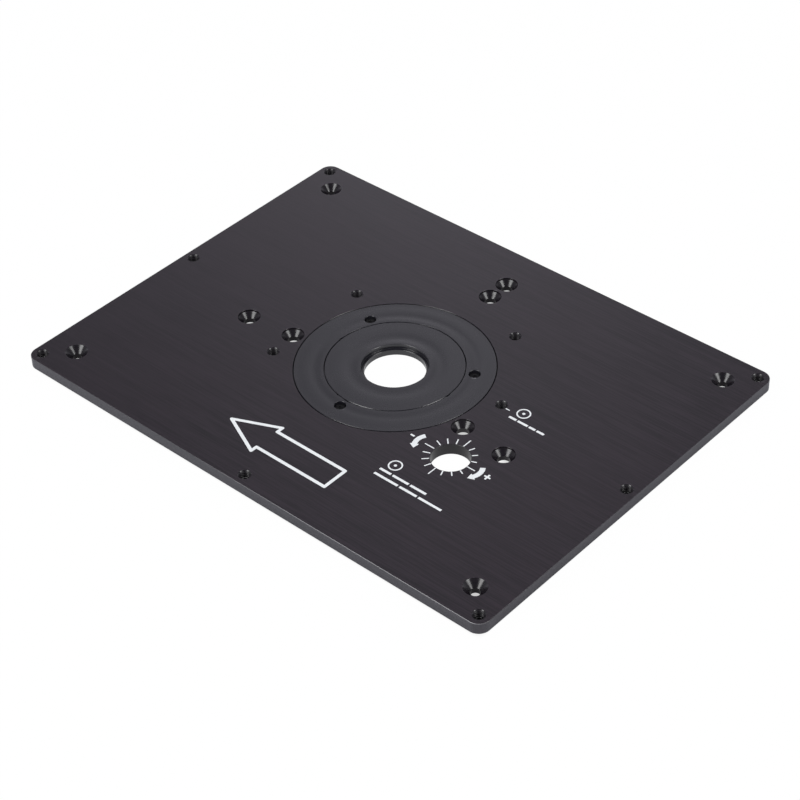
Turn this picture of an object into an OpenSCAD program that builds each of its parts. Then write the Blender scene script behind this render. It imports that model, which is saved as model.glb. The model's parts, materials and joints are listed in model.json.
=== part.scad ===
// Insert plate for a router table, with two drop-in reducing rings round the cutter,
// three ring fixing screws, seven levelling screws and printed setting marks.
// Millimetres. The origin is on the cutter's axis at the plate's underside,
// +X runs along the long side, +Y towards the back and +Z up.
// Name endings: _d diameter, _r radius, _h height or depth, _t thickness, _c chamfer,
// _w width, _z level above the underside.

/* [Plate] */
// Length of the plate
plate_w = 305; // [302:0.5:312]
// Depth of the plate, front to back
plate_d = 229; // [227:0.5:236]
// Thickness of the plate
plate_t = 6.35; // [6.3:0.05:8]
// Plan radius of the four corners
corner_r = 6.35; // [5:0.05:8]
// Eased edge round the top and bottom faces
edge_c = 0.2; // [0.1:0.05:0.5]

/* [Fixing holes] */
// Corner fixing holes, centre to centre along the length
corner_x = 268; // [262:0.5:272]
// Corner fixing holes, centre to centre front to back
corner_y = 192; // [186:0.5:196]
// Clearance hole for the router's screws
fix_d = 6.4; // [6.2:0.1:6.8]
// Clearance hole for the corner screws
corner_fix_d = 5; // [4.5:0.1:5.5]
// Diameter of the countersunk recess
sink_d = 11.8; // [11:0.1:12.6]
// Straight wall above the countersink of the router's screws
sink_h = 1; // [0.5:0.05:1.2]

/* [Threaded holes] */
// Thread diameter of the levelling and accessory holes
tap_d = 6; // [6:0.05:6.1]
// Mouth chamfer on each threaded hole
tap_c = 0.35; // [0.2:0.05:0.6]
// Levelling holes, centre to centre along the length
level_x = 293; // [290:0.5:294]
// Levelling holes, centre to centre front to back
level_y = 216.6; // [212:0.1:218]

/* [Height adjuster] */
// Adjuster opening, distance to the right of the cutter axis
dial_x = 68; // [67:0.1:69]
// Adjuster opening, distance in front of the cutter axis
dial_y = 36; // [35:0.1:37]
// Diameter of the adjuster opening
dial_d = 20; // [18:0.1:20.4]

/* [Reducing rings] */
// Diameter of the plate's recess for the outer ring
recess_d = 104; // [103.8:0.1:104.6]
// Depth of the plate's recess
recess_h = 3.2; // [2.8:0.05:3.4]
// Diameter of the plate's through opening
open_d = 76; // [75.8:0.1:76.4]
// Gap round the outer ring
outer_gap = 0.5; // [0.3:0.05:0.6]
// Gap round the inner ring
inner_gap = 0.45; // [0.3:0.05:0.5]
// Diameter of the outer ring's recess for the inner ring
seat_d = 72.6; // [72:0.1:73]
// Depth of the outer ring's recess
seat_h = 2.5; // [2.2:0.05:2.8]
// Opening left when the inner ring is lifted out
large_bore = 67.5; // [66:0.1:68]
// Cutter opening in the inner ring
small_bore = 31.8; // [30:0.1:32]
// Guide bush rebate in the inner ring
bush_d = 35; // [34.8:0.1:35.2]
// Depth of the guide bush rebate
bush_h = 2.55; // [2.2:0.05:2.8]
// Radius at which the ring screws sit
screw_pcr = 41; // [40.8:0.1:41.4]

/* [Levelling screws] */
// Length of each levelling screw
level_len = 6; // [5:0.5:6]
// Height of each levelling screw's tip below the underside
level_drop = 3; // [0:0.5:3]

/* [Marks] */
// Height of the printed marks above the plate
ink = 0.05; // [0.03:0.01:0.1]
// Line width of the feed arrow
arrow_w = 1.75; // [1.4:0.05:2.2]
// Line width of the dial's ticks
tick_w = 0.6; // [0.5:0.05:0.9]

/* [Hidden] */
$fn = 96;

black_anodised = "#37353b";
black_moulded = "#434346";
black_oxide = "#1d1d20";
white_ink = "#eceef0";

// How far cutters run past the face they open
cut_past = 1;
flare_past = 0.5;
cup_past = 0.01;

// Levels inside the ring stack
ledge_z = plate_t - recess_h;
seat_z = plate_t - seat_h;
bush_z = plate_t - bush_h;
ring_foot = 0.35;

// Clearance round each ring's spigot, and the chamfer at its foot
outer_fit = 0.2;
inner_fit = 0.15;
spigot_c = 0.4;

// Mouth chamfers of the plate's openings
recess_c = 0.15;
open_c = 0.4;
sink_c = 0.1;
dial_c = 0.1;

// Ring screw: M3 with an extra low head, sunk well below the ring's face
m3_r = 1.45;
m3_head_r = 2.85;
m3_head_h = 1.05;
m3_sunk = 1.35;
m3_top = plate_t - m3_sunk;
m3_seat = m3_top - m3_head_h;
m3_tip = 0.25;
m3_tip_c = 0.3;
m3_rim_c = 0.25;
m3_under_c = 0.1;
// Its holes in the plate and the outer ring
m3_plate_r = 1.5;
m3_plate_c = 0.2;
m3_clear_r = 1.7;
m3_bore_r = 3.1;
m3_bore_c = 0.1;
screw_angles = [30, 150, 270];

// Levelling screw
level_r = tap_d / 2 - 0.05;
level_top = level_len - level_drop;
level_tip_c = 0.9;
level_rim_c = 0.4;

// Hole centres, [x, y]
// Countersunk holes that carry a router from below
router_holes = [[0, 89], [0, 75.3],
    [-57.6, -14.7], [57.6, -14.7], [-86.2, -18], [86.2, -18]];
corner_holes = [for (sx = [-1, 1], sy = [-1, 1]) [sx * corner_x / 2, sy * corner_y / 2]];
// Threaded holes for accessories, the first for the lead-on pin
accessory_holes = [[61.4, 10.4], [31.8, 57.3], [-55.8, 32.4], [-55.8, -31.2]];
// Levelling holes, anticlockwise from the front left corner, in half spacings
level_holes = [for (side = [[-1, -1], [0, -1], [1, -1], [1, 0], [1, 1], [-1, 1], [-1, 0]])
    [side[0] * level_x / 2, side[1] * level_y / 2]];

// Repeats its children at each [x, y] point
module at_each(points) {
    for (p = points) translate([p[0], p[1], 0]) children();
}

// Puts its children on the ring screws' circle
module at_ring_screw(angle) {
    rotate([0, 0, angle]) translate([screw_pcr, 0, 0]) children();
}

// Bar along X with its long arrises eased
module eased_bar(length, width, height, ease) {
    side = width / 2;
    rotate([90, 0, 90])
        translate([0, 0, -length / 2])
            linear_extrude(length)
                polygon([[-side + ease, 0], [side - ease, 0], [side, ease], [side, height - ease],
                    [side - ease, height], [-side + ease, height],
                    [-side, height - ease], [-side, ease]]);
}

// Disc with both rims eased
module eased_disc(radius, height, ease) {
    rotate_extrude()
        polygon([[0, 0], [radius - ease, 0], [radius, ease],
            [radius, height - ease], [radius - ease, height], [0, height]]);
}

// Rectangular plate with round corners and eased edges
module eased_plate(width, depth, height, radius, ease) {
    union() {
        eased_bar(width - 2 * radius, depth, height, ease);
        rotate([0, 0, 90]) eased_bar(depth - 2 * radius, width, height, ease);
        for (sx = [-1, 1], sy = [-1, 1])
            translate([sx * (width / 2 - radius), sy * (depth / 2 - radius), 0])
                eased_disc(radius, height, ease);
    }
}

// Cutter for a 45 degree chamfer of the given depth below the face at level top
module flare(radius, depth, top = plate_t, past = flare_past) {
    translate([0, 0, top - depth])
        cylinder(r1 = radius, r2 = radius + depth + past, h = depth + past);
}

// Cutter for a 90 degree countersunk hole, with a straight wall above the cone
module sunk_hole(radius, wall) {
    sink_r = sink_d / 2;
    cone_h = sink_r - radius;
    translate([0, 0, -cut_past]) cylinder(r = radius, h = plate_t + 2 * cut_past);
    if (wall > 0) {
        translate([0, 0, plate_t - wall - cone_h]) cylinder(r1 = radius, r2 = sink_r, h = cone_h);
        translate([0, 0, plate_t - wall]) cylinder(r = sink_r, h = wall + cut_past);
        flare(sink_r, sink_c);
    } else {
        flare(radius, cone_h);
    }
}

// Cutter for a round hole from the underside up to level top, with both mouths chamfered
module edged_hole(radius, chamfer, top = plate_t) {
    translate([0, 0, -cut_past]) cylinder(r = radius, h = top + 2 * cut_past);
    flare(radius, chamfer, top);
    translate([0, 0, -flare_past])
        cylinder(r1 = radius + chamfer + flare_past, r2 = radius, h = chamfer + flare_past);
}

module plate() {
    color(black_anodised)
        difference() {
            eased_plate(plate_w, plate_d, plate_t, corner_r, edge_c);
            // stepped opening for the rings
            translate([0, 0, ledge_z]) cylinder(d = recess_d, h = recess_h + cut_past);
            flare(recess_d / 2, recess_c);
            edged_hole(open_d / 2, open_c, ledge_z);
            for (angle = screw_angles)
                at_ring_screw(angle) edged_hole(m3_plate_r, m3_plate_c, ledge_z);
            // fixing and threaded holes
            at_each(corner_holes) sunk_hole(corner_fix_d / 2, 0);
            at_each(router_holes) sunk_hole(fix_d / 2, sink_h);
            at_each(concat(level_holes, accessory_holes)) edged_hole(tap_d / 2, tap_c);
            // height adjuster opening
            translate([dial_x, -dial_y, 0]) edged_hole(dial_d / 2, dial_c);
        }
}

// Ring with a spigot below its flange and a step in its bore.
// flange_z is the flange's underside and floor_z the floor of the step.
module stepped_ring(bore_r, spigot_r, step_r, face_r, flange_z, floor_z,
        foot_c, flange_c, floor_c, face_c, step_c) {
    rotate_extrude()
        polygon([[bore_r + foot_c, ring_foot], [spigot_r - spigot_c, ring_foot],
            [spigot_r, ring_foot + spigot_c], [spigot_r, flange_z],
            [face_r - flange_c, flange_z], [face_r, flange_z + flange_c],
            [face_r, plate_t - face_c], [face_r - face_c, plate_t],
            [step_r + step_c, plate_t], [step_r, plate_t - step_c],
            [step_r, floor_z], [bore_r + floor_c, floor_z],
            [bore_r, floor_z - floor_c], [bore_r, ring_foot + foot_c]]);
}

// Cutter for a ring of pockets with radial ribs left between them.
// Each argument is a [from, to] pair of radii or levels.
module coring(pocket_r, pocket_z, rib_r, rib_z) {
    rib_count = 12;
    rib_w = 1.8;
    difference() {
        rotate_extrude()
            polygon([[pocket_r[0], pocket_z[0]], [pocket_r[1], pocket_z[0]],
                [pocket_r[1], pocket_z[1]], [pocket_r[0], pocket_z[1]]]);
        for (i = [0 : rib_count - 1])
            rotate([0, 0, i * 360 / rib_count])
                translate([rib_r[0], -rib_w / 2, rib_z[0]])
                    cube([rib_r[1] - rib_r[0], rib_w, rib_z[1] - rib_z[0]]);
    }
}

module outer_ring() {
    color(black_moulded)
        difference() {
            stepped_ring(bore_r = large_bore / 2, spigot_r = open_d / 2 - outer_fit,
                step_r = seat_d / 2, face_r = recess_d / 2 - outer_gap,
                flange_z = ledge_z, floor_z = seat_z,
                foot_c = 0.3, flange_c = 0.3, floor_c = 0.25, face_c = 0.08, step_c = 0.05);
            // pockets under the flange
            coring(pocket_r = [44.9, 49.8], pocket_z = [ledge_z - cut_past, ledge_z + 1.6],
                rib_r = [44, 51], rib_z = [ledge_z - 2, ledge_z + 3]);
            // screw holes with deep counterbores
            for (angle = screw_angles) at_ring_screw(angle) {
                translate([0, 0, ledge_z - cut_past]) cylinder(r = m3_clear_r, h = 4);
                translate([0, 0, m3_seat]) cylinder(r = m3_bore_r, h = 4);
                flare(m3_bore_r, m3_bore_c, past = 0.4);
            }
        }
}

module inner_ring() {
    color(black_moulded)
        difference() {
            stepped_ring(bore_r = small_bore / 2, spigot_r = large_bore / 2 - inner_fit,
                step_r = bush_d / 2, face_r = seat_d / 2 - inner_gap,
                flange_z = seat_z, floor_z = bush_z,
                foot_c = 0.4, flange_c = 0.25, floor_c = 0.1, face_c = 0.2, step_c = 0.12);
            // pockets from below, with ribs that stop short of the foot
            coring(pocket_r = [20.6, 31.2], pocket_z = [ring_foot - cut_past, seat_z],
                rib_r = [20, 32], rib_z = [ring_foot + 0.6, seat_z + 1]);
        }
}

// Cutter for a hexagon socket below level top; height is the cutter's own
module hex_socket(across_flats, depth, top, height) {
    translate([0, 0, top - depth]) cylinder(r = across_flats / sqrt(3), h = height, $fn = 6);
}

module ring_screw(angle) {
    color(black_oxide)
        at_ring_screw(angle)
            difference() {
                rotate_extrude()
                    polygon([[0, m3_tip], [m3_r - m3_tip_c, m3_tip], [m3_r, m3_tip + m3_tip_c],
                        [m3_r, m3_seat], [m3_head_r - m3_under_c, m3_seat],
                        [m3_head_r, m3_seat + m3_under_c], [m3_head_r, m3_top - m3_rim_c],
                        [m3_head_r - m3_rim_c, m3_top], [0, m3_top]]);
                hex_socket(across_flats = 2, depth = 0.75, top = m3_top, height = 3);
            }
}

// Levelling screw with a hexagon socket and a cup point
module level_screw(place) {
    color(black_oxide)
        translate([place[0], place[1], 0])
            difference() {
                rotate_extrude()
                    polygon([[0, -level_drop], [level_r - level_tip_c, -level_drop],
                        [level_r, -level_drop + level_tip_c], [level_r, level_top - level_rim_c],
                        [level_r - level_rim_c, level_top], [0, level_top]]);
                hex_socket(across_flats = 3, depth = 2.5, top = level_top, height = 4);
                translate([0, 0, -level_drop - cup_past]) cylinder(r1 = 1.5, r2 = 0.6, h = 0.7);
            }
}

// Raises flat marks off the plate's face
module inked() {
    color(white_ink) translate([0, 0, plate_t]) linear_extrude(ink) children();
}

// Flat rectangle about a centre
module block(centre, size) {
    translate(centre - size / 2) square(size);
}

// Flat line with round ends
module line(start, end, width) {
    run = end - start;
    translate(start)
        rotate([0, 0, atan2(run[1], run[0])])
            translate([0, -width / 2]) square([norm(run), width]);
    translate(start) circle(d = width);
    translate(end) circle(d = width);
}

// Arrow outline in front of the rings, pointing left
module feed_arrow() {
    // Corners, [x, y], from the tip
    outline = [[-34.2, -82.9], [-9.8, -93.9], [-9.8, -90.3], [35.5, -90.3],
        [35.5, -75.7], [-9.8, -75.7], [-9.8, -72]];
    inked()
        for (i = [0 : len(outline) - 1])
            line(outline[i], outline[(i + 1) % len(outline)], arrow_w);
}

// Radial ticks round the adjuster opening, every fourth one long.
// Their centre is a little off the opening's.
module dial_scale() {
    scale_centre = [67.35, -35.95];
    tick_count = 16;
    tick_start = 9.9;
    long_tick = 5.9;
    short_tick = 3.8;
    dial_margin = 0.3;
    inked() difference() {
        for (i = [0 : tick_count - 1])
            translate(scale_centre) rotate([0, 0, i * 360 / tick_count])
                translate([tick_start, -tick_w / 2])
                    square([i % 4 == 0 ? long_tick : short_tick, tick_w]);
        translate([dial_x, -dial_y]) circle(r = dial_d / 2 + dial_margin);
    }
}

// Curved band about a centre, ending at the front in a barbed head.
// turn is 1 for a band that bulges right and -1 for one that bulges left.
module turn_arrow(centre, turn) {
    outer_r = 8.75;
    inner_r = 6.1;
    function polar(radius, angle) = [turn * radius * cos(angle), radius * sin(angle)];
    outer = [for (angle = [35 : -5 : -25]) polar(outer_r, angle)];
    inner = [for (angle = [-25 : 5 : 35]) polar(inner_r, angle)];
    head = [polar(outer_r, -27), polar(9.7, -29), polar(7.9, -51),
        polar(5.15, -28.5), polar(inner_r, -27)];
    translate(centre) polygon(concat(outer, head, inner));
}

module turn_arrows() {
    inked() turn_arrow([78.65, -36.1], 1);
    inked() turn_arrow([54.2, -35.8], -1);
}

// Minus on the left and plus on the right of the adjuster opening
module adjust_signs() {
    plus_centre = [90.6, -35.6];
    inked() {
        block([42.9, -35.2], [2.4, 1.04]);
        block(plus_centre, [3.7, 1]);
        block(plus_centre, [1, 3.9]);
    }
}

// Short dash beside the lead-on pin hole
module pin_dash() {
    inked() block([66.2, 9.45], [2.5, 0.56]);
}

// Ring and dot that marks each note
module note_rings() {
    inked()
        for (centre = [[74.35, 11.9], [51.35, -57.3]])
            translate(centre) {
                difference() {
                    circle(r = 3.7);
                    circle(r = 2.95);
                }
                circle(r = 0.8);
            }
}

// Rows of plain dashes under the note rings
module note_bars() {
    dash_h = 1.4;
    // Left end of the row, its middle y, then [start, length] of each dash
    rows = [
        [70.1, 5.75, [[0, 4.5], [5.4, 6.2], [12.5, 3.9], [17.3, 4.5]]],
        [46.9, -63.45, [[0, 7.1], [8.2, 10.1], [19.4, 9.9]]],
        [46.9, -67.5, [[0, 14.9], [16.1, 10.8], [28, 14.2]]]];
    inked()
        for (row = rows, dash = row[2])
            translate([row[0] + dash[0], row[1] - dash_h / 2]) square([dash[1], dash_h]);
}

plate();
outer_ring();
inner_ring();
ring_screw(screw_angles[0]);  // ring_screw_1
ring_screw(screw_angles[1]);  // ring_screw_2
ring_screw(screw_angles[2]);  // ring_screw_3
level_screw(level_holes[0]);  // level_screw_1
level_screw(level_holes[1]);  // level_screw_2
level_screw(level_holes[2]);  // level_screw_3
level_screw(level_holes[3]);  // level_screw_4
level_screw(level_holes[4]);  // level_screw_5
level_screw(level_holes[5]);  // level_screw_6
level_screw(level_holes[6]);  // level_screw_7
feed_arrow();
dial_scale();
turn_arrows();
adjust_signs();
pin_dash();
note_rings();
note_bars();
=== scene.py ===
"""Insert plate for a router table, with two nested reducing rings and their screws.

The plate lies flat: long side along X, front towards -Y, underside at z = 0, with its
stepped opening about the origin. Shapes are built in mm; the scene is in metres.
"""

import json
import math

import bpy
import bmesh
import numpy as np
from mathutils import Matrix, Vector
from mathutils.geometry import delaunay_2d_cdt


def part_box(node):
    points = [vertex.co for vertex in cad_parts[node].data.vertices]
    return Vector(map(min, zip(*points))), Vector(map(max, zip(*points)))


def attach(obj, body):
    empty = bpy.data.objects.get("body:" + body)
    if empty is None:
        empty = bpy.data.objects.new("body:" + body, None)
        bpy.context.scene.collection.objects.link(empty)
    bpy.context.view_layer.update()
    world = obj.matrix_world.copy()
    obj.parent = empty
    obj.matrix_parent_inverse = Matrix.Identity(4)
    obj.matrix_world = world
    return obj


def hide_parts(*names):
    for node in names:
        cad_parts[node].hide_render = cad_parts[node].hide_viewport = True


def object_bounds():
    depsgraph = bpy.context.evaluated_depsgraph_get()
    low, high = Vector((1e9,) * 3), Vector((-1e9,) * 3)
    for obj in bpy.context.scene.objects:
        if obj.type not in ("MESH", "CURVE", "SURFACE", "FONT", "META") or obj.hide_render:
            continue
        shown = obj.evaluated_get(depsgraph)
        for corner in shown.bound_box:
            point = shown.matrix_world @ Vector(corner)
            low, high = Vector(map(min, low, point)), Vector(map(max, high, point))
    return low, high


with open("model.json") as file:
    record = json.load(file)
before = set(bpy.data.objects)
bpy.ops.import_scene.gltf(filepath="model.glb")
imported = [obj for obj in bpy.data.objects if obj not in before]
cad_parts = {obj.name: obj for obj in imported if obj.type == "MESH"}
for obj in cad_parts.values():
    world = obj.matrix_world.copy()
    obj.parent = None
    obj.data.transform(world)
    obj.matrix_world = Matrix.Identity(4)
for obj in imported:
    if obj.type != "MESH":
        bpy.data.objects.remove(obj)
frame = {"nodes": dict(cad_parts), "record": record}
cad_lo, cad_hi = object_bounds()

MM = 0.001
NODES = frame["nodes"]
MOUNTS = {mount["name"]: mount for mount in frame["record"]["mounts"]}

# ---------------------------------------------------------------- places and shared sizes, in mm


def centre(node):
    lo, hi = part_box(node)
    middle = (lo + hi) / 2
    return middle.x / MM, middle.y / MM


def mount_place(name):
    return tuple(c / MM for c in MOUNTS[name]["pos_m"][:2])


def pattern(name):
    """Places of a mount's holes, spaced evenly about its middle."""
    x, y = mount_place(name)
    dims = MOUNTS[name]["dims"]
    dx = dims.get("spacing_x_mm", 0) / 2
    dy = dims.get("spacing_y_mm", 0) / 2
    return sorted({(x + sx * dx, y + sy * dy) for sx in (-1, 1) for sy in (-1, 1)})


plate_lo, plate_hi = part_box("plate")
WIDTH = (plate_hi.x - plate_lo.x) / MM
DEPTH = (plate_hi.y - plate_lo.y) / MM
TOP = plate_hi.z / MM
CORNER_R = 6.35
EASE = 0.2               # chamfer round the plate's outer edges

LEDGE_Z = TOP - 3.2      # plate's ledge, which carries the outer ring
SEAT_Z = TOP - 2.5       # outer ring's seat, which carries the inner ring
BUSH_Z = TOP - 2.55      # floor of the inner ring's rebate
FOOT_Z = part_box("inner_ring")[0].z / MM
OUTER_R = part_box("outer_ring")[1].x / MM
INNER_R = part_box("inner_ring")[1].x / MM

LEVEL = [centre(f"level_screw_{i}") for i in range(1, 8)]
RING_SCREWS = [centre(f"ring_screw_{i}") for i in range(1, 4)]
HEAD_HEIGHT = 1.05
HEAD_SEAT_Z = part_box("ring_screw_1")[1].z / MM - HEAD_HEIGHT

DIAL = mount_place("adjuster_opening")
DIAL_R = MOUNTS["adjuster_opening"]["dims"]["r_mm"]
ACCESSORY = [mount_place(name) for name in
             ("lead_on_pin_hole", "accessory_hole_1", "accessory_hole_2", "accessory_hole_3")]
CORNERS = pattern("corner_fixings")
SUNK = [place for name in ("router_pair_inner", "router_pair_outer", "router_pair_rear")
        for place in pattern(name)]

# tapped holes: large for levelling screws and accessories, small for the ring screws
TAP_R, TAP_CREST_R, TAP_PITCH, TAP_CHAMFER = 3.0, 2.55, 1.0, 0.35
SMALL_R, SMALL_CREST_R, SMALL_PITCH, SMALL_CHAMFER = 1.5, 1.24, 0.5, 0.2

# segments round each kind of circle
SUNK_N, TAP_N, SMALL_N, DIAL_N, OPENING_N = 80, 56, 40, 144, 240
INNER_N, BORE_N, SCREW_N = 216, 56, 48
LARGE_ROWS, SMALL_ROWS = 14, 24      # rows of thread faces per mm

# ---------------------------------------------------------------- mesh tools


def rounded(points, radii, steps=3):
    """The inner corners of a polyline as arcs. Its two end points only give directions.

    radii is one radius for every corner, or a list of one each.
    """
    out = []
    for i in range(1, len(points) - 1):
        before, corner, after = (Vector(points[k]) for k in (i - 1, i, i + 1))
        radius = radii[i - 1] if isinstance(radii, list) else radii
        back, ahead = before - corner, after - corner
        back_len, ahead_len = back.length, ahead.length
        back, ahead = back / back_len, ahead / ahead_len
        half = back.angle(ahead) / 2
        trim = min(radius / math.tan(half), back_len * 0.48, ahead_len * 0.48)
        radius = trim * math.tan(half)
        mid = (back + ahead).normalized()
        c = corner + mid * (radius / math.sin(half))
        start, end = corner + back * trim, corner + ahead * trim
        start_angle = math.atan2(start.y - c.y, start.x - c.x)
        end_angle = math.atan2(end.y - c.y, end.x - c.x)
        sweep = (end_angle - start_angle + math.pi) % (2 * math.pi) - math.pi
        for k in range(steps + 1):
            angle = start_angle + sweep * k / steps
            out.append((c.x + radius * math.cos(angle), c.y + radius * math.sin(angle)))
    return out


class Builder:
    """Collects loops of vertices, strips between them and flat areas, in mm."""

    def __init__(self):
        self.verts, self.faces, self.zones = [], [], []

    def face(self, corners, zone=0):
        self.faces.append(corners)
        self.zones.append(zone)

    def loop(self, points):
        start = len(self.verts)
        self.verts.extend(points)
        return list(range(start, len(self.verts)))

    def circle(self, cx, cy, radius, z, n):
        turns = [2 * math.pi * k / n for k in range(n)]
        return self.loop((cx + radius * math.cos(a), cy + radius * math.sin(a), z) for a in turns)

    def strip(self, first, second, zone=0):
        n = len(first)
        for k in range(n):
            after = (k + 1) % n
            self.face([first[k], first[after], second[after], second[k]], zone)

    def lathe(self, cx, cy, profile, n, zone=0):
        """Turns a profile of (radius, z) points. Returns its first and last loops."""
        loops = [self.circle(cx, cy, radius, z, n) for radius, z in profile]
        for first, second in zip(loops, loops[1:]):
            self.strip(first, second, zone)
        return loops[0], loops[-1]

    def flat(self, loops, is_open=lambda x, y: False, zone=0, extra=()):
        """Fills between loops, the first the outer one, by way of any extra points.

        Nothing is filled where is_open(x, y).
        """
        ids, edges = [], []
        for loop in loops:
            start, n = len(ids), len(loop)
            ids.extend(loop)
            edges.extend((start + k, start + (k + 1) % n) for k in range(n))
        ids.extend(self.loop(extra))
        plan = [Vector(self.verts[i][:2]) for i in ids]
        _, _, triangles, origins, _, _ = delaunay_2d_cdt(plan, edges, [], 1, 1e-5)
        back = [origin[0] if origin else None for origin in origins]
        for triangle in triangles:
            corners = [back[i] for i in triangle]
            # a point made where edges cross belongs to no loop
            if None in corners:
                continue
            x = sum(plan[i].x for i in corners) / 3
            y = sum(plan[i].y for i in corners) / 3
            if not is_open(x, y):
                self.face([ids[i] for i in corners], zone)

    def fan(self, loop, tip):
        """Closes a loop with triangles to one point."""
        middle = self.loop([tip])[0]
        for k in range(len(loop)):
            self.face([loop[k], loop[(k + 1) % len(loop)], middle])

    def object(self, name, materials, sharp=35):
        """Makes the scene object. Edges above sharp degrees stay sharp."""
        mesh = bpy.data.meshes.new(name)
        mesh.from_pydata([(x * MM, y * MM, z * MM) for x, y, z in self.verts], [], self.faces)
        for material in materials:
            mesh.materials.append(material)
        mesh.polygons.foreach_set("material_index", self.zones)
        bm = bmesh.new()
        bm.from_mesh(mesh)
        loose = [v for v in bm.verts if not v.link_faces]
        bmesh.ops.delete(bm, geom=loose, context="VERTS")
        bmesh.ops.recalc_face_normals(bm, faces=bm.faces)
        if bm.calc_volume(signed=True) < 0:
            bmesh.ops.reverse_faces(bm, faces=bm.faces)
        bm.to_mesh(mesh)
        bm.free()
        mesh.shade_smooth()
        mesh.set_sharp_from_angle(angle=math.radians(sharp))
        mesh.update()
        ob = bpy.data.objects.new(name, mesh)
        bpy.context.scene.collection.objects.link(ob)
        weighted = ob.modifiers.new("weighted_normals", "WEIGHTED_NORMAL")
        weighted.keep_sharp = True
        weighted.weight = 50
        return ob


class Face:
    """A flat face still to be filled: its loops, and the (x, y, radius) circles left open."""

    def __init__(self, loops, circles=()):
        self.loops = list(loops)
        self.circles = list(circles)

    def cut(self, loop, x, y, radius):
        self.loops.append(loop)
        self.circles.append((x, y, radius))


def inside_circles(circles):
    """Test for being inside any of a list of (x, y, radius) circles."""
    table = np.array(circles, float)

    def test(x, y):
        square = (table[:, 0] - x) ** 2 + (table[:, 1] - y) ** 2
        return bool((square < (table[:, 2] - 1e-4) ** 2).any())
    return test


def bore(b, upper, lower, place, profile, n, zone=0):
    """Turns a hole's wall from the upper Face to the lower one. Returns its mouth loop."""
    x, y = place
    mouth, end = b.lathe(x, y, profile, n, zone)
    upper.cut(mouth, x, y, profile[0][0])
    lower.cut(end, x, y, profile[-1][0])
    return mouth


def chamfered_bore(radius, chamfer, top, land, rounding):
    """Profile of a hole from top to z = 0. land is a radius out on the faces round it."""
    return rounded([(land, top), (radius + chamfer, top), (radius, top - chamfer),
                    (radius, chamfer), (radius + chamfer, 0), (land, 0)], rounding, 2)


def rect_loop(b, width, depth, radius, z, steps=12):
    """Loop round a rectangle with rounded corners."""
    points = []
    for sx, sy, start in ((1, 1, 0), (-1, 1, 90), (-1, -1, 180), (1, -1, 270)):
        cx, cy = sx * (width / 2 - radius), sy * (depth / 2 - radius)
        for k in range(steps + 1):
            a = math.radians(start + 90 * k / steps)
            points.append((cx + radius * math.cos(a), cy + radius * math.sin(a), z))
    return b.loop(points)


def tooth(u, crest=0.125, root=0.25):
    """Thread form: 1 on the crest at u = 0, 0 at the root half a pitch away."""
    d = abs((u + 0.5) % 1.0 - 0.5)
    return min(1.0, max(0.0, (0.5 - root / 2 - d) / (0.5 - root / 2 - crest / 2)))


def thread_rows(b, cx, cy, z_from, z_to, radius_at, n, per_mm):
    """Threaded wall of radius_at(z, turn). Returns its first and last loops."""
    rows = max(2, int(round(abs(z_to - z_from) * per_mm)))
    loops = []
    for i in range(rows + 1):
        z = z_from + (z_to - z_from) * i / rows
        loops.append(b.loop((cx + radius_at(z, k / n) * math.cos(2 * math.pi * k / n),
                             cy + radius_at(z, k / n) * math.sin(2 * math.pi * k / n), z)
                            for k in range(n)))
        if i:
            b.strip(loops[-2], loops[-1])
    return loops[0], loops[-1]


def stand_in(ob, cad_name):
    """Puts a built object in the place of its CAD piece."""
    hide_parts(cad_name)
    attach(ob, f"{cad_name}_body")


# ---------------------------------------------------------------- shader tools


class Tree:
    """Short ways to add and link the shader nodes of a material or world."""

    def __init__(self, owner):
        owner.use_nodes = True
        self.tree = owner.node_tree
        self.tree.nodes.clear()

    def put(self, target, value):
        if isinstance(value, bpy.types.NodeSocket):
            self.tree.links.new(value, target)
        else:
            target.default_value = value

    def node(self, kind, inputs=None, **settings):
        made = self.tree.nodes.new("ShaderNode" + kind)
        for key, value in settings.items():
            setattr(made, key, value)
        for key, value in (inputs or {}).items():
            self.put(made.inputs[key], value)
        return made

    def math(self, operation, *values, clamp=False):
        made = self.node("Math", dict(enumerate(values)), operation=operation, use_clamp=clamp)
        return made.outputs[0]

    def xyz(self, vector):
        return self.node("SeparateXYZ", {0: vector}).outputs

    def mix_shader(self, factor, first, second):
        return self.node("MixShader", {0: factor, 1: first, 2: second}).outputs[0]


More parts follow.
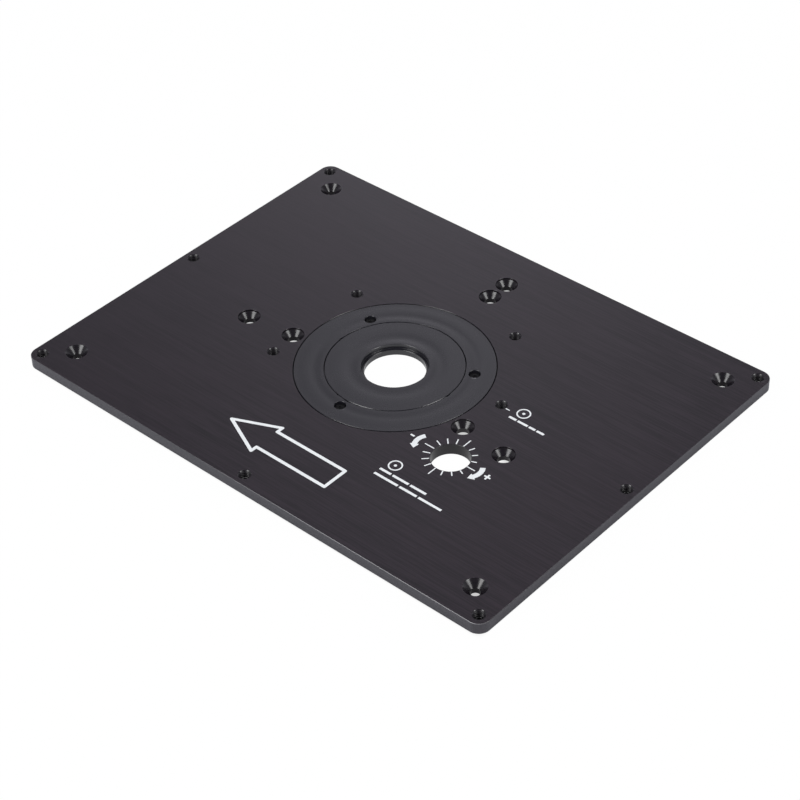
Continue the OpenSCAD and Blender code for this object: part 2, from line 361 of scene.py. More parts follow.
class Surface(Tree):
    """A material on one Principled shader, with textures in object space."""

    def __init__(self, name):
        self.material = bpy.data.materials.new(name)
        super().__init__(self.material)
        self.coord = self.node("TexCoord").outputs

    def noise(self, scale, detail, rough, distortion=0.0):
        """Noise with scale features per metre along X, Y and Z."""
        place = self.node("Mapping", {"Vector": self.coord["Object"], "Scale": scale}).outputs[0]
        return self.node("TexNoise", {"Vector": place, "Scale": 1.0, "Detail": detail,
                                      "Roughness": rough, "Distortion": distortion}).outputs["Fac"]

    def remap(self, value, span, to=(0, 1)):
        return self.node("MapRange", {"Value": value, "From Min": span[0], "From Max": span[1],
                                      "To Min": to[0], "To Max": to[1]}).outputs["Result"]

    def mix(self, factor, first, second):
        return self.node("Mix", {"Factor": factor, "A": first, "B": second},
                         data_type="RGBA").outputs["Result"]

    def bump(self, height, distance):
        return self.node("Bump", {"Distance": distance, "Strength": 0.5,
                                  "Height": height}).outputs[0]

    def wear(self, radius, patches, span, to, amount):
        """Patchy wear on edges: 0 on flat areas, more where the surface turns within radius."""
        bevel = self.node("Bevel", {"Radius": radius}, samples=4).outputs[0]
        normal = self.node("NewGeometry").outputs["Normal"]
        dot = self.node("VectorMath", {0: bevel, 1: normal}, operation="DOT_PRODUCT")
        edge = self.remap(dot.outputs["Value"], span=(1.0, 0.80))
        worn = self.math("MULTIPLY", edge, self.remap(patches, span, to))
        return self.math("MULTIPLY", worn, amount)

    def finish(self, color, rough, normal, specular=0.5, metallic=0.0):
        shader = self.node("BsdfPrincipled", {
            "Base Color": color, "Roughness": rough, "Normal": normal,
            "Specular IOR Level": specular, "Metallic": metallic})
        self.node("OutputMaterial", {0: shader.outputs[0]})
        return self.material


# ---------------------------------------------------------------- materials


def brushed_plate():
    """Black anodised plate, brushed along X."""
    n = Surface("brushed_black_anodised")
    fine = n.noise(scale=(40, 2300, 2300), detail=5, rough=0.6)
    broad = n.noise(scale=(18, 620, 620), detail=3, rough=0.5)
    cloud = n.noise(scale=(11, 14, 14), detail=3, rough=0.5)
    grain = n.math("ADD", n.math("MULTIPLY", fine, 0.75), n.math("MULTIPLY", broad, 0.25))
    # the brush marks get deeper towards the +X end
    place_x = n.xyz(n.coord["Object"])["X"]
    depth = n.remap(place_x, span=(-0.15, 0.15), to=(0.6, 2.0))
    grain = n.math("ADD", n.math("MULTIPLY", n.math("SUBTRACT", grain, 0.5), depth), 0.5)
    color = n.mix(n.remap(grain, span=(0.38, 0.62)),
                  first=(0.0016, 0.0000, 0.0024, 1), second=(0.0140, 0.0088, 0.0142, 1))
    color = n.mix(n.remap(cloud, span=(0.35, 0.65), to=(0.0, 0.3)),
                  first=color, second=(0.0092, 0.0036, 0.0082, 1))
    worn = n.wear(radius=0.00025, patches=n.noise(scale=(90, 90, 90), detail=4, rough=0.6),
                  span=(0.45, 0.75), to=(0.1, 0.7), amount=0.35)
    color = n.mix(worn, first=color, second=(0.09, 0.088, 0.094, 1))
    # painted light: the front side is painted a little paler, and its eased edge gets a painted
    # highlight that grows towards the +X end
    turn = n.xyz(n.coord["Normal"])
    front = n.remap(turn["Y"], span=(-0.15, -0.5))
    eased = n.math("MULTIPLY", front, n.remap(turn["Z"], span=(0.15, 0.5)))
    painted_edge_highlight = n.math("MULTIPLY", eased, n.remap(place_x, span=(-0.03, 0.045), to=(0.1, 0.9)))
    color = n.mix(n.math("MULTIPLY", front, 0.12), first=color, second=(0.10, 0.098, 0.104, 1))
    # painted highlight along the front eased edge
    color = n.mix(painted_edge_highlight, first=color, second=(0.17, 0.167, 0.174, 1))
    rough = n.math("ADD", n.remap(grain, span=(0.35, 0.65), to=(0.298, 0.342)),
                   n.remap(cloud, span=(0.3, 0.7), to=(-0.015, 0.02)))
    return n.finish(color, rough, n.bump(grain, distance=0.000012), specular=0.48)


def turned_metal(name, ring_scale, ring_detail, spot_scale, dark, light, rough, specular, relief):
    """Black anodised wall with faint tool rings about Z; rough is a range."""
    n = Surface(name)
    rings = n.noise(scale=ring_scale, detail=ring_detail, rough=0.6)
    spots = n.noise(scale=(spot_scale,) * 3, detail=3, rough=0.5)
    color = n.mix(n.remap(rings, span=(0.35, 0.65)), dark, light)
    return n.finish(color, n.remap(spots, span=(0.3, 0.7), to=rough),
                    n.bump(rings, distance=relief), specular=specular)


def moulded_ring():
    """Black plastic with fine pores and broad flow marks."""
    n = Surface("moulded_black_plastic")
    pores = n.noise(scale=(2600, 2600, 2600), detail=4, rough=0.6)
    flow = n.noise(scale=(38, 38, 38), detail=4, rough=0.55, distortion=0.6)
    base = n.mix(n.remap(flow, span=(0.3, 0.7)),
                 first=(0.0095, 0.0093, 0.0128, 1), second=(0.0125, 0.0123, 0.0160, 1))
    worn = n.wear(radius=0.0002, patches=n.noise(scale=(160, 160, 160), detail=3, rough=0.6),
                  span=(0.45, 0.75), to=(0.0, 0.5), amount=0.3)
    rough = n.math("ADD", n.remap(pores, span=(0.3, 0.7), to=(0.21, 0.28)),
                   n.remap(flow, span=(0.3, 0.7), to=(-0.015, 0.02)))
    return n.finish(n.mix(worn, first=base, second=(0.085, 0.085, 0.088, 1)), rough,
                    n.bump(pores, distance=0.000012), specular=0.56)


def dark_steel(name, patch_scale, dark, light, bare, wear, rough, relief, **shine):
    """Blackened steel, worn to its bare colour on the edges; rough is a range."""
    n = Surface(name)
    fine = n.noise(scale=(2200, 2200, 2200), detail=4, rough=0.6)
    broad = n.noise(scale=(patch_scale,) * 3, detail=3, rough=0.5)
    base = n.mix(n.remap(broad, span=(0.35, 0.65)), dark, light)
    color = n.mix(n.wear(patches=broad, **wear), base, bare)
    return n.finish(color, n.remap(fine, span=(0.3, 0.7), to=rough),
                    n.bump(fine, distance=relief), **shine)


def printed_ink():
    n = Surface("white_printed_ink")
    speck = n.noise(scale=(1500, 1500, 1500), detail=5, rough=0.65)
    cloud = n.noise(scale=(160, 160, 160), detail=3, rough=0.5)
    base = n.mix(n.remap(speck, span=(0.35, 0.7)),
                 first=(0.73, 0.76, 0.77, 1), second=(0.83, 0.86, 0.865, 1))
    color = n.mix(n.remap(cloud, span=(0.35, 0.65), to=(0, 0.35)),
                  first=base, second=(0.66, 0.69, 0.70, 1))
    return n.finish(color, n.remap(speck, span=(0.3, 0.7), to=(0.5, 0.62)),
                    n.bump(speck, distance=0.00001))


PLATE = brushed_plate()
# countersinks and steps: smoother than the faces
HOLE = turned_metal(
    "machined_black_anodised", ring_scale=(60, 60, 5200), ring_detail=3, spot_scale=700,
    dark=(0.0062, 0.0050, 0.0072, 1), light=(0.0084, 0.0070, 0.0096, 1),
    rough=(0.19, 0.26), specular=0.34, relief=0.000006)
# the adjuster opening's wall: a little duller and paler
BORED = turned_metal(
    "bored_black_anodised", ring_scale=(60, 60, 3600), ring_detail=4, spot_scale=500,
    dark=(0.0066, 0.0060, 0.0075, 1), light=(0.0095, 0.0086, 0.0105, 1),
    rough=(0.26, 0.34), specular=0.38, relief=0.000008)
THREAD = turned_metal(
    "threaded_black_anodised", ring_scale=(300, 300, 3000), ring_detail=3, spot_scale=900,
    dark=(0.0056, 0.0046, 0.0068, 1), light=(0.0088, 0.0074, 0.0100, 1),
    rough=(0.36, 0.46), specular=0.26, relief=0.00001)
RING = moulded_ring()
LEVEL_STEEL = dark_steel(
    "black_oxide_steel", patch_scale=500,
    dark=(0.011, 0.011, 0.012, 1), light=(0.020, 0.020, 0.022, 1), bare=(0.11, 0.105, 0.10, 1),
    wear=dict(radius=0.00012, span=(0.4, 0.65), to=(0.15, 0.9), amount=0.5),
    rough=(0.30, 0.44), relief=0.000008, metallic=0.35)
# the ring screws: duller and darker
RING_STEEL = dark_steel(
    "dull_black_steel", patch_scale=600,
    dark=(0.0035, 0.0035, 0.0042, 1), light=(0.0070, 0.0068, 0.0078, 1),
    bare=(0.05, 0.05, 0.052, 1),
    wear=dict(radius=0.0001, span=(0.45, 0.7), to=(0.0, 0.8), amount=0.4),
    rough=(0.42, 0.55), relief=0.00001, specular=0.2)
INK = printed_ink()

# ---------------------------------------------------------------- the plate

MACHINED, BORED_WALL = 1, 2      # material slots after the brushed one
OPENING_R = 38

# hole profiles as (radius, z), downwards, with the radius of each inner corner
SUNK_PROFILE = rounded([(8, TOP), (6.0, TOP), (5.9, TOP - 0.1), (5.9, TOP - 1.0),
                        (3.2, TOP - 3.7), (3.2, 0), (6, 0)], [0.04, 0.04, 0.15, 0.12, 0.15], 2)
CORNER_PROFILE = rounded([(8, TOP), (5.9, TOP), (2.5, TOP - 3.4), (2.5, 0), (6, 0)],
                         [0.1, 0.12, 0.15], 2)
TAP_PROFILE = chamfered_bore(TAP_R, TAP_CHAMFER, TOP, land=6, rounding=0.06)
SMALL_PROFILE = chamfered_bore(SMALL_R, SMALL_CHAMFER, LEDGE_Z, land=3, rounding=0.04)
DIAL_PROFILE = chamfered_bore(DIAL_R, 0.1, TOP, land=14, rounding=0.04)
OPENING_PROFILE = chamfered_bore(OPENING_R, 0.4, LEDGE_Z, land=42, rounding=0.1)
RECESS_PROFILE = rounded([(56, TOP), (52.15, TOP), (52.0, TOP - 0.15), (52.0, LEDGE_Z),
                          (48, LEDGE_Z)], [0.05, 0.05, 0.25])


def build_plate():
    b = Builder()
    # outer wall as (inset, z), with eased and slightly rounded edges
    side = rounded([(3, TOP), (EASE, TOP), (0, TOP - EASE), (0, EASE), (EASE, 0), (3, 0)], 0.08)
    walls = [rect_loop(b, WIDTH - 2 * inset, DEPTH - 2 * inset, CORNER_R - inset, z)
             for inset, z in side]
    for upper, lower in zip(walls, walls[1:]):
        b.strip(upper, lower)
    top, bottom = Face([walls[0]]), Face([walls[-1]])

    for places, profile, n, zone in ((SUNK, SUNK_PROFILE, SUNK_N, MACHINED),
                                     (CORNERS, CORNER_PROFILE, SUNK_N, MACHINED),
                                     (LEVEL + ACCESSORY, TAP_PROFILE, TAP_N, MACHINED),
                                     ([DIAL], DIAL_PROFILE, DIAL_N, BORED_WALL)):
        for place in places:
            bore(b, top, bottom, place, profile, n, zone)

    # stepped opening: recess, ledge with three tapped holes, through opening
    mouth, ledge_edge = b.lathe(0, 0, RECESS_PROFILE, OPENING_N, MACHINED)
    top.cut(mouth, 0, 0, RECESS_PROFILE[0][0])
    ledge = Face([ledge_edge])
    bore(b, ledge, bottom, (0, 0), OPENING_PROFILE, OPENING_N, MACHINED)
    for place in RING_SCREWS:
        bore(b, ledge, bottom, place, SMALL_PROFILE, SMALL_N, MACHINED)

    for face, zone in ((ledge, MACHINED), (top, 0), (bottom, 0)):
        b.flat(face.loops, inside_circles(face.circles), zone)
    stand_in(b.object("insert_plate", [PLATE, HOLE, BORED]), "plate")


def sleeve(b, place, wall, crest, pitch, z_top, z_bottom, n, per_mm):
    """The thread standing in from a tapped hole's wall, running out into the chamfers."""
    x, y = place
    overlap, inset = 0.12, 0.05      # how far its back sits in the wall, and its ends stop short

    def radius_at(z, turn):
        radius = crest + (wall - crest) * tooth(z / pitch - turn)
        return max(radius, wall - (z_top - z), wall - (z - z_bottom)) - 0.002
    first, last = thread_rows(b, x, y, z_top, z_bottom, radius_at, n, per_mm)
    back_top = b.circle(x, y, wall + overlap, z_top - inset, n)
    back_bottom = b.circle(x, y, wall + overlap, z_bottom + inset, n)
    b.strip(back_top, first)
    b.strip(last, back_bottom)
    b.strip(back_bottom, back_top)


def build_threads():
    b = Builder()
    for place in LEVEL + ACCESSORY:
        sleeve(b, place, TAP_R, TAP_CREST_R, TAP_PITCH,
               TOP - TAP_CHAMFER, TAP_CHAMFER, n=48, per_mm=LARGE_ROWS)
    for place in RING_SCREWS:
        sleeve(b, place, SMALL_R, SMALL_CREST_R, SMALL_PITCH,
               LEDGE_Z - SMALL_CHAMFER, SMALL_CHAMFER, n=32, per_mm=SMALL_ROWS)
    ob = b.object("tapped_threads", [THREAD], sharp=50)
    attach(ob, "plate_body")


# ---------------------------------------------------------------- the rings

# Moulded faces sink a little over thin sections, more so at the back (+Y).
# Each row is (radius, width, outward slope at the back, and at the front, in degrees).
OUTER_SLOPES = [(39.3, 1.7, 4.2, 2.0), (42.9, 0.9, -1.6, -1.4), (47.8, 2.0, 2.4, 0.8)]
INNER_SLOPES = [(20.4, 1.9, 4.8, 1.7), (25.4, 1.8, -1.9, -1.9), (32.5, 2.4, 0.8, 0.7)]

# chamfers where the top faces meet the rings' upright walls
OUTER_RIM, SEAT_RIM, INNER_RIM, BUSH_RIM = 0.08, 0.05, 0.2, 0.12
SEAT_R = 36.3            # wall round the inner ring's seat
SPIGOT_R = 37.8          # outer ring's part inside the plate's opening
BUSH_R = 17.5            # wall of the inner ring's rebate
POCKETS, RIB = 12, 1.8   # pockets in each ring's underside, and the ribs between them


def sink(terms, inner, outer):
    """Height of a face against its rims, as a function of place, from its slopes."""
    radii = np.linspace(inner, outer, 600)
    fade = np.clip((radii - inner) / 0.6, 0, 1) * np.clip((outer - radii) / 0.6, 0, 1)

    def heights(side):
        slope = sum(math.tan(math.radians(term[side])) * np.exp(-((radii - term[0]) / term[1]) ** 2)
                    for term in terms)
        # both rims stay level with the plate
        slope = (slope - (slope * fade).sum() / fade.sum()) * fade
        return -np.cumsum(slope) * (radii[1] - radii[0])

    back, front = heights(2), heights(3)

    def height(x, y):
        r = math.hypot(x, y)
        share = 0.5 + 0.5 * y / r
        return (float(np.interp(r, radii, back)) * share
                + float(np.interp(r, radii, front)) * (1 - share))
    return height


def sector(b, inner, outer, start, end, z, steps=10, corner=0.5):
    """Loop round a pocket between two ribs, with rounded corners. Angles in radians."""
    inner_turn, outer_turn = corner / inner, corner / outer

    def polar(radius, angle):
        return radius * math.cos(angle), radius * math.sin(angle), z

    def arc(radius, first, sweep):
        return [polar(radius, first + sweep * k / steps) for k in range(steps + 1)]

    def bend(radius, inset, angle, reach, shares):
        quarters = [share * math.pi / 2 for share in shares]
        return [polar(radius + inset * (1 - math.cos(q)), angle + reach * math.sin(q))
                for q in quarters]

    off, on = (0.3, 0.7), (0.7, 0.3)     # leaving an arc, and coming on to one
    return b.loop(
        arc(outer, start + outer_turn, end - start - 2 * outer_turn)
        + bend(outer, -corner, end - outer_turn, outer_turn, off)
        + [polar(outer - corner, end), polar(inner + corner, end)]
        + bend(inner, corner, end - inner_turn, inner_turn, on)
        + arc(inner, end - inner_turn, -(end - start - 2 * inner_turn))
        + bend(inner, corner, start + inner_turn, -inner_turn, off)
        + [polar(inner + corner, start), polar(outer - corner, start)]
        + bend(outer, -corner, start + outer_turn, -outer_turn, on))


def pockets(b, loops, inner, outer, z_mouth, z_roof):
    """Adds pockets and their mouth loops. Returns the test for being inside one."""
    gap = RIB / 2 / ((inner + outer) / 2)
    spans = [(2 * math.pi * i / POCKETS + gap, 2 * math.pi * (i + 1) / POCKETS - gap)
             for i in range(POCKETS)]

    def outline(start, end, inset, z):
        turn = inset / outer
        return sector(b, inner + inset, outer - inset, start + turn, end - turn, z)

    for start, end in spans:
        mouth = outline(start, end, 0, z_mouth)
        step = outline(start, end, 0.05, z_roof - 0.3)
        roof = outline(start, end, 0.3, z_roof)
        b.strip(mouth, step)
        b.strip(step, roof)
        b.flat([roof])
        loops.append(mouth)

    def test(x, y):
        if not inner < math.hypot(x, y) < outer:
            return False
        angle = math.atan2(y, x) % (2 * math.pi)
        return any(start < angle < end for start, end in spans)
    return test


def sunk_top(b, loops, is_open, inner, outer, count, height, skip=lambda x, y: False):
    """Fills a ring's top face through staggered rows of count points that follow its sink."""
    spacing = 0.7
    points = []
    row = 0
    radius = inner + spacing
    while radius < outer - spacing * 0.5:
        for i in range(count):
            angle = 2 * math.pi * (i + 0.5 * (row % 2)) / count
            x, y = radius * math.cos(angle), radius * math.sin(angle)
            if not skip(x, y):
                points.append((x, y, TOP + height(x, y)))
        radius += spacing
        row += 1
    b.flat(loops, is_open, extra=points)


def build_outer_ring():
    b = Builder()
    inside, edge = SEAT_R + SEAT_RIM, OUTER_R - OUTER_RIM
    height = sink(OUTER_SLOPES, inside, edge)
    # inner side: from the top face down into the seat, the bore, the foot and the spigot
    inner_side = rounded(
        [(40, TOP), (inside, TOP), (SEAT_R, TOP - SEAT_RIM), (SEAT_R, SEAT_Z), (34.0, SEAT_Z),
         (33.75, SEAT_Z - 0.25), (33.75, FOOT_Z + 0.3), (34.05, FOOT_Z), (37.4, FOOT_Z),
         (SPIGOT_R, FOOT_Z + 0.4), (SPIGOT_R, LEDGE_Z), (42, LEDGE_Z)],
        [0.02, 0.02, 0.2, 0.1, 0.1, 0.1, 0.1, 0.15, 0.15, 0.15])
    outer_side = rounded(
        [(48, LEDGE_Z), (OUTER_R - 0.3, LEDGE_Z), (OUTER_R, LEDGE_Z + 0.3),
         (OUTER_R, TOP - OUTER_RIM), (edge, TOP), (48, TOP)], [0.12, 0.12, 0.035, 0.035])
    top_in, under_in = b.lathe(0, 0, inner_side, OPENING_N)
    under_out, top_out = b.lathe(0, 0, outer_side, OPENING_N)
    top = Face([top_out, top_in], [(0, 0, SEAT_R)])
    under = Face([under_out, under_in], [(0, 0, SPIGOT_R + 0.1)])
    surrounds = []
    for x, y in RING_SCREWS:
        z_face = TOP + height(x, y)
        profile = rounded(
            [(5, z_face), (3.2, z_face), (3.1, z_face - 0.1), (3.1, HEAD_SEAT_Z),
             (1.7, HEAD_SEAT_Z), (1.7, LEDGE_Z), (3, LEDGE_Z)], [0.04, 0.04, 0.12, 0.06, 0.08], 2)
        # the mouth follows the sunk face
        for i in bore(b, top, under, (x, y), profile, BORE_N):
            mouth_x, mouth_y, _ = b.verts[i]
            b.verts[i] = (mouth_x, mouth_y, TOP + height(mouth_x, mouth_y))
        surrounds.append((x, y, profile[0][0] + 0.35))
    in_pocket = pockets(b, under.loops, 44.9, 49.8, LEDGE_Z, LEDGE_Z + 1.6)
    in_hole = inside_circles(under.circles)
    b.flat(under.loops, lambda x, y: in_hole(x, y) or in_pocket(x, y))
    sunk_top(b, top.loops, inside_circles(top.circles), inner_side[0][0], outer_side[-1][0],
             200, height, skip=inside_circles(surrounds))
    stand_in(b.object("outer_reducing_ring", [RING]), "outer_ring")


def build_inner_ring():
    b = Builder()
    inside, edge = BUSH_R + BUSH_RIM, INNER_R - INNER_RIM
    height = sink(INNER_SLOPES, inside, edge)
    groove_r, groove_z = 20.6, FOOT_Z + 0.6      # coring groove in the underside
    # from the top face into the rebate, the bore and the foot, in to the groove
    inner_side = rounded(
        [(21, TOP), (inside, TOP), (BUSH_R, TOP - BUSH_RIM), (BUSH_R, BUSH_Z), (16.0, BUSH_Z),
         (15.9, BUSH_Z - 0.1), (15.9, FOOT_Z + 0.4), (16.3, FOOT_Z), (groove_r, FOOT_Z),
         (groove_r, groove_z), (24, groove_z)],
        [0.06, 0.06, 0.15, 0.05, 0.05, 0.1, 0.1, 0.15, 0.15])
    # from the groove round the outer foot and the flange to the top face
    outer_side = rounded(
        [(28, groove_z), (31.2, groove_z), (31.2, FOOT_Z), (33.2, FOOT_Z),
         (33.6, FOOT_Z + 0.4), (33.6, SEAT_Z), (INNER_R - 0.25, SEAT_Z), (INNER_R, SEAT_Z + 0.25),
         (INNER_R, TOP - INNER_RIM), (edge, TOP), (30, TOP)],
        [0.15, 0.15, 0.12, 0.12, 0.15, 0.1, 0.1, 0.11, 0.11])
    top_in, groove_in = b.lathe(0, 0, inner_side, INNER_N)
    groove_out, top_out = b.lathe(0, 0, outer_side, INNER_N)
    groove = [groove_out, groove_in]
    in_pocket = pockets(b, groove, 20.9, 30.9, groove_z, SEAT_Z)
    b.flat(groove, lambda x, y: in_pocket(x, y) or math.hypot(x, y) < groove_r + 0.05)
    sunk_top(b, [top_out, top_in], lambda x, y: math.hypot(x, y) < inside,
             inner_side[0][0], outer_side[-1][0], 160, height)
    stand_in(b.object("inner_reducing_ring", [RING]), "inner_ring")


# ---------------------------------------------------------------- the screws


def hex_loop(b, x, y, flats, z, turn, per_side=4):
    """Hexagon loop, flats wide across its flats, with slightly cut corners."""
    radius = flats / math.sqrt(3)
    points = []
    for side in range(6):
        start, end = (Vector((radius * math.cos(a), radius * math.sin(a)))
                      for a in (turn + math.radians(60 * k) for k in (side, side + 1)))
        for k in range(per_side):
            point = start.lerp(end, (k + 0.5) / per_side * 0.94 + 0.03)
            points.append((x + point.x, y + point.y, z))
    return b.loop(points)


def inside_hex(x, y, flats, turn):
    for k in range(6):
        a = turn + math.radians(60 * k + 30)
        if x * math.cos(a) + y * math.sin(a) > flats / 2 - 1e-4:
            return False
    return True


def socketed_top(b, rim, x, y, flats, z, depth, turn):
    """End face inside rim, with a hexagon socket: chamfered mouth and drilled cone bottom."""
    mouth_flats = flats * 1.12
    mouth = hex_loop(b, x, y, mouth_flats, z, turn)
    lip = hex_loop(b, x, y, flats, z - flats * 0.06, turn)
    foot = hex_loop(b, x, y, flats, z - depth, turn)
    b.strip(mouth, lip)
    b.strip(lip, foot)
    b.fan(foot, (x, y, z - depth - flats * 0.18))
    b.flat([rim, mouth], lambda px, py: inside_hex(px - x, py - y, mouth_flats, turn))


def build_ring_screw(number, place, turn):
    """Low-head screw that holds the outer ring down."""
    x, y = place
    cad_name = f"ring_screw_{number}"
    lo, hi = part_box(cad_name)
    z_low, z_high = lo.z / MM, hi.z / MM
    b = Builder()
    head = rounded([(1.5, z_high), (2.6, z_high), (2.85, z_high - 0.25), (2.85, HEAD_SEAT_Z + 0.1),
                    (2.75, HEAD_SEAT_Z), (1.7, HEAD_SEAT_Z)], [0.12, 0.12, 0.04, 0.04])
    neck_profile = [(1.7, HEAD_SEAT_Z), (1.45, HEAD_SEAT_Z - 0.12)]
    rim, neck = b.lathe(x, y, head + neck_profile, SCREW_N)
    socketed_top(b, rim, x, y, flats=2.0, z=z_high, depth=0.6, turn=math.radians(turn))

    def radius_at(z, turn):
        return min(1.17 + 0.28 * tooth(z / SMALL_PITCH - turn), 1.1 + (z - z_low))
    first, last = thread_rows(b, x, y, HEAD_SEAT_Z - 0.2, z_low, radius_at, SCREW_N, SMALL_ROWS)
    b.strip(neck, first)
    b.fan(last, (x, y, z_low))
    stand_in(b.object(f"low_head_screw_{number}", [RING_STEEL], sharp=40), cad_name)


def build_level_screw(number, place, turn):
    """Headless levelling screw with a cup point."""
    x, y = place
    cad_name = f"level_screw_{number}"
    lo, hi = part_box(cad_name)
    z_low, z_high = lo.z / MM, hi.z / MM
    b = Builder()
    end_r = 2.45

    def radius_at(z, turn):
        radius = 2.40 + 0.55 * tooth(z / TAP_PITCH - turn)
        return min(radius, end_r + 0.05 + (z_high - z), 2.05 + (z - z_low))
    first, last = thread_rows(b, x, y, z_high - 0.05, z_low, radius_at, SCREW_N, LARGE_ROWS)
    rim = b.circle(x, y, end_r - 0.02, z_high, SCREW_N)
    b.strip(rim, first)
    socketed_top(b, rim, x, y, flats=3.0, z=z_high, depth=2.5, turn=math.radians(turn))
    cup = b.circle(x, y, 1.5, z_low, SCREW_N)
    b.strip(last, cup)
    b.fan(cup, (x, y, z_low + 0.75))
    stand_in(b.object(f"levelling_screw_{number}", [LEVEL_STEEL], sharp=40), cad_name)


build_plate()
build_threads()
build_outer_ring()
build_inner_ring()
for i, socket_turn in enumerate((12, 37, 51)):
    build_ring_screw(i + 1, RING_SCREWS[i], socket_turn)
for i, place in enumerate(LEVEL):
    build_level_screw(i + 1, place, 17 * i + 5)

# ---------------------------------------------------------------- CAD pieces

# the printed marks keep their CAD shape
MARKS = ("feed_arrow", "dial_scale", "turn_arrows", "adjust_signs", "pin_dash", "note_rings",
         "note_bars")
for name, material in (*((mark, INK) for mark in MARKS),
                       ("plate", PLATE), ("outer_ring", RING), ("inner_ring", RING)):
    NODES[name].data.materials.clear()
    NODES[name].data.materials.append(material)

# ---------------------------------------------------------------- floor (metres from here on)

FLOOR_HALF = 6.0
FLOOR_GAP = 0.0011       # floor below the lowest CAD point
SHADE_BLUR = 0.006       # width of the shade's soft borders
UNDER_GLOW = 0.4         # floor's glow in full shade, as other surfaces see it
UNDER_SHARE = 0.8        # share of that glow in the floor under the plate
SEEN_SHARE = 0.99        # share of plain glow in the floor the camera sees
SEEN_SHADE = 0.39        # how much the shade takes from that glow


def shade_below(n):
    """Two masks over the floor: the plate's shade, and the same without its openings."""
    place = n.xyz(n.node("NewGeometry").outputs["Position"])
    x, y = place["X"], place["Y"]

    def ramp(distance, start):
        return n.math("DIVIDE", n.math("SUBTRACT", distance, start), SHADE_BLUR, clamp=True)

    def side(along, size):
        return ramp(n.math("SUBTRACT", size * MM / 2, n.math("ABSOLUTE", along)), 0.002)

    def away(cx, cy, radius):
        dx, dy = n.math("SUBTRACT", x, cx * MM), n.math("SUBTRACT", y, cy * MM)
        square = n.math("ADD", n.math("MULTIPLY", dx, dx), n.math("MULTIPLY", dy, dy))
        return ramp(n.math("SQRT", square), radius * MM)

    mask = n.math("MULTIPLY", side(x, WIDTH), side(y, DEPTH))
    openings = n.math("MULTIPLY", away(0, 0, 31), away(*DIAL, 24))
    return mask, n.math("MULTIPLY", mask, openings)


def build_floor():
    mesh = bpy.data.meshes.new("floor")
    s, z = FLOOR_HALF, cad_lo.z - FLOOR_GAP
    mesh.from_pydata([(-s, -s, z), (s, -s, z), (s, s, z), (-s, s, z)], [], [(0, 1, 2, 3)])
    ob = bpy.data.objects.new("floor", mesh)
    bpy.context.scene.collection.objects.link(ob)
    material = bpy.data.materials.new("pale_floor")
    n = Tree(material)
    under, shade = shade_below(n)

    def glow(loss):
        strength = n.math("SUBTRACT", 1.0, n.math("MULTIPLY", shade, loss))
        return n.node("Emission", {"Strength": strength}).outputs[0]

    paint = n.node("BsdfDiffuse", {"Color": (0.88, 0.915, 0.955, 1)}).outputs[0]
    seen = n.math("MULTIPLY", n.node("LightPath").outputs["Is Camera Ray"], SEEN_SHARE)
    # light that the pale floor carries in under the plate, most of it under the openings
    carried = glow(1.0 - UNDER_GLOW)
    lit = n.mix_shader(n.math("MULTIPLY", under, UNDER_SHARE), paint, carried)
    top = n.mix_shader(seen, lit, glow(SEEN_SHADE))
    # from below the floor can be looked through
    backfacing = n.node("NewGeometry").outputs["Backfacing"]
    clear = n.node("BsdfTransparent").outputs[0]
    n.node("OutputMaterial", {0: n.mix_shader(backfacing, top, clear)})
    mesh.materials.append(material)


# ---------------------------------------------------------------- world

# Angles in degrees, azimuth from +X towards +Y; each width is where a bell falls to 1/e.
BAND = dict(azimuth=130.5, width=6.8)                    # pale band behind the object
BAND_LOW = dict(strength=1.37, middle=6.0, width=14.0)   # its extra brightness low down
BAND_BASE = 0.70                                         # its brightness at any height
ROOM_LOW = dict(strength=1.0, middle=0.0, width=26.0)    # room's extra brightness low down
ROOM_BASE = 0.14
ROOM_COLOR = (0.985, 0.965, 1.05, 1)


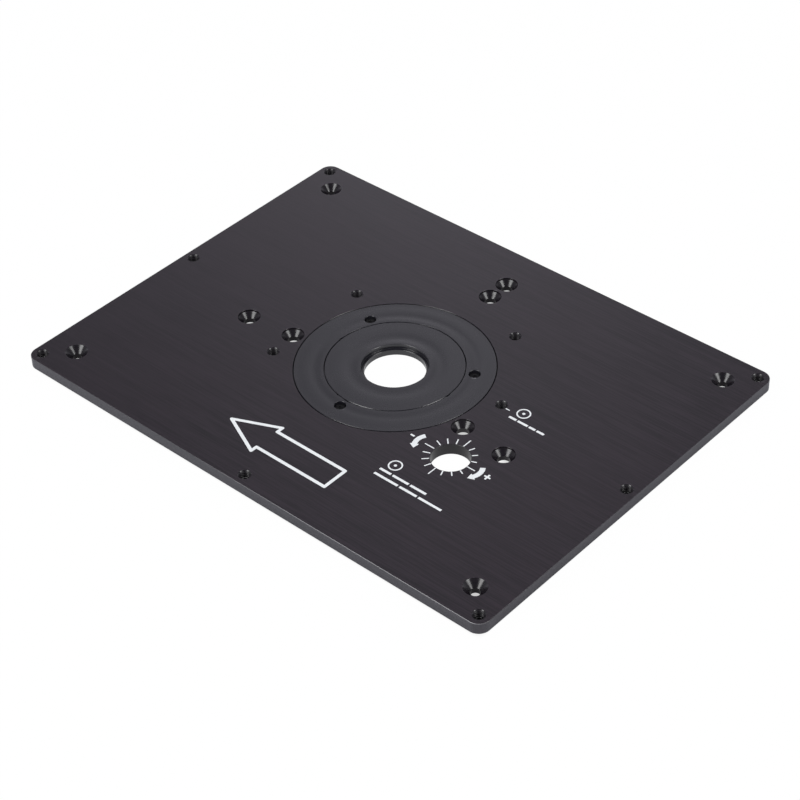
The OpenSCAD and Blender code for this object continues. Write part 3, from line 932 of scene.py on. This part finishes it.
def build_world():
    """Studio room: dim overhead, paler low down, with one soft band. The camera sees white."""
    studio = bpy.data.worlds.new("studio")
    bpy.context.scene.world = studio
    n = Tree(studio)

    def bell(value, middle, width):
        offset = n.math("DIVIDE", n.math("SUBTRACT", value, middle), width)
        square = n.math("MULTIPLY", offset, offset)
        return n.math("EXPONENT", n.math("MULTIPLY", square, -1.0), 0.0)

    def raised_bell(value, base, strength, middle, width):
        peak = n.math("MULTIPLY", bell(value, middle, width), strength)
        return n.math("ADD", peak, base)

    ray = n.xyz(n.node("TexCoord").outputs["Generated"])
    elevation = n.math("MULTIPLY", n.math("ARCSINE", ray["Z"], 0.0), 180 / math.pi)
    # azimuth about the band's middle, so that it never wraps near the band
    middle = math.radians(BAND["azimuth"])
    cos_mid, sin_mid = math.cos(middle), math.sin(middle)
    along = n.math("ADD", n.math("MULTIPLY", ray["X"], cos_mid),
                   n.math("MULTIPLY", ray["Y"], sin_mid))
    across = n.math("SUBTRACT", n.math("MULTIPLY", ray["Y"], cos_mid),
                    n.math("MULTIPLY", ray["X"], sin_mid))
    azimuth = n.math("MULTIPLY", n.math("ARCTAN2", across, along), 180 / math.pi)
    band = n.math("MULTIPLY", bell(azimuth, 0.0, BAND["width"]),
                  raised_bell(elevation, BAND_BASE, **BAND_LOW))
    total = n.math("ADD", band, raised_bell(elevation, ROOM_BASE, **ROOM_LOW))
    room = n.node("Background", {"Color": ROOM_COLOR, "Strength": total}).outputs[0]
    white = n.node("Background", {"Color": (1, 1, 1, 1)}).outputs[0]
    seen = n.node("LightPath").outputs["Is Camera Ray"]
    n.node("OutputWorld", {0: n.mix_shader(seen, room, white)})


# ---------------------------------------------------------------- lights and camera


def softbox(name, azimuth, elevation, distance, size, radiance):
    """Rectangular area light aimed at the origin. Azimuth is from +X towards +Y."""
    a, e = math.radians(azimuth), math.radians(elevation)
    toward = Vector((math.cos(a) * math.cos(e), math.sin(a) * math.cos(e), math.sin(e)))
    place = toward * distance
    light = bpy.data.lights.new(name, "AREA")
    light.shape = "RECTANGLE"
    light.size, light.size_y = size
    light.energy = radiance * math.pi * size[0] * size[1]
    ob = bpy.data.objects.new(name, light)
    ob.location = place
    ob.rotation_euler = (-place).to_track_quat("-Z", "Y").to_euler()
    bpy.context.scene.collection.objects.link(ob)


def build_camera():
    data = bpy.data.cameras.new("camera")
    data.sensor_width = 36
    data.lens = 97.85
    data.clip_end = 50
    data.shift_x = -0.000625
    data.shift_y = 0.0002875
    camera = bpy.data.objects.new("camera", data)
    bpy.context.scene.collection.objects.link(camera)
    right = Vector((0.7474, 0.6638, -0.0285)).normalized()
    forward = Vector((-0.5256, 0.5644, -0.6366)).normalized()
    up = right.cross(forward).normalized()
    right = forward.cross(up).normalized()
    rotation = Matrix((right, up, -forward)).transposed()
    place = Vector((0.58881, -0.62917, 0.68828 + TOP * MM))
    camera.matrix_world = Matrix.Translation(place) @ rotation.to_4x4()
    bpy.context.scene.camera = camera


build_floor()
build_world()
softbox("softbox_front", azimuth=-107, elevation=42, distance=2.4, size=(1.05, 1.15), radiance=10.6)
softbox("softbox_side", azimuth=17, elevation=41, distance=2.4, size=(0.85, 0.95), radiance=11.0)
build_camera()

bpy.context.scene.view_settings.view_transform = "Standard"
bpy.context.scene.view_settings.look = "None"
